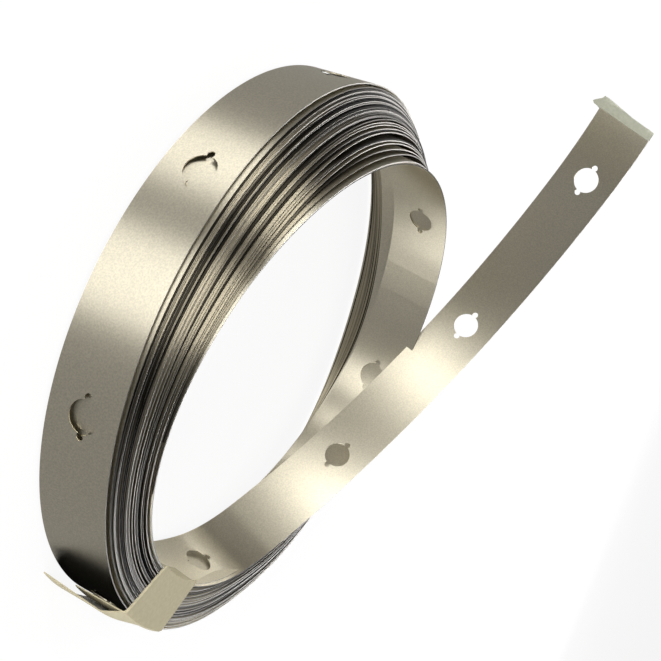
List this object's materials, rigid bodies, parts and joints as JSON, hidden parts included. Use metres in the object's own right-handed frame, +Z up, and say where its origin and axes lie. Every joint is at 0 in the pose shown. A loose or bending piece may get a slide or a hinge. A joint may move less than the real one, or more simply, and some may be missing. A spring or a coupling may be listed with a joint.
{
  "type": "roll of nickel strip",
  "caption": "Coil of thin punched nickel strip lying on its flat end, held by a band of masking tape, with its inner end drawn out over the upper face.",
  "frame": {"origin": "centre of the coil, on the axis of its bore and half way up the outermost turn", "axes": "+Z up along the coil's axis, out of the face that the strip is drawn out over, +X towards the side that the drawn-out end points to"},
  "size_m": [0.1074, 0.0816, 0.0419],
  "materials": {
    "nickel": "satin nickel-plated, rolled strip",
    "masking_tape": "creped, matt",
    "end_tape": "creped, matt, thin"
  },
  "bodies": {
    "root": {"coil": "nickel", "strip_end": "nickel", "coil_tape": "masking_tape", "end_tape": "end_tape"}
  },
  "joints": []
}
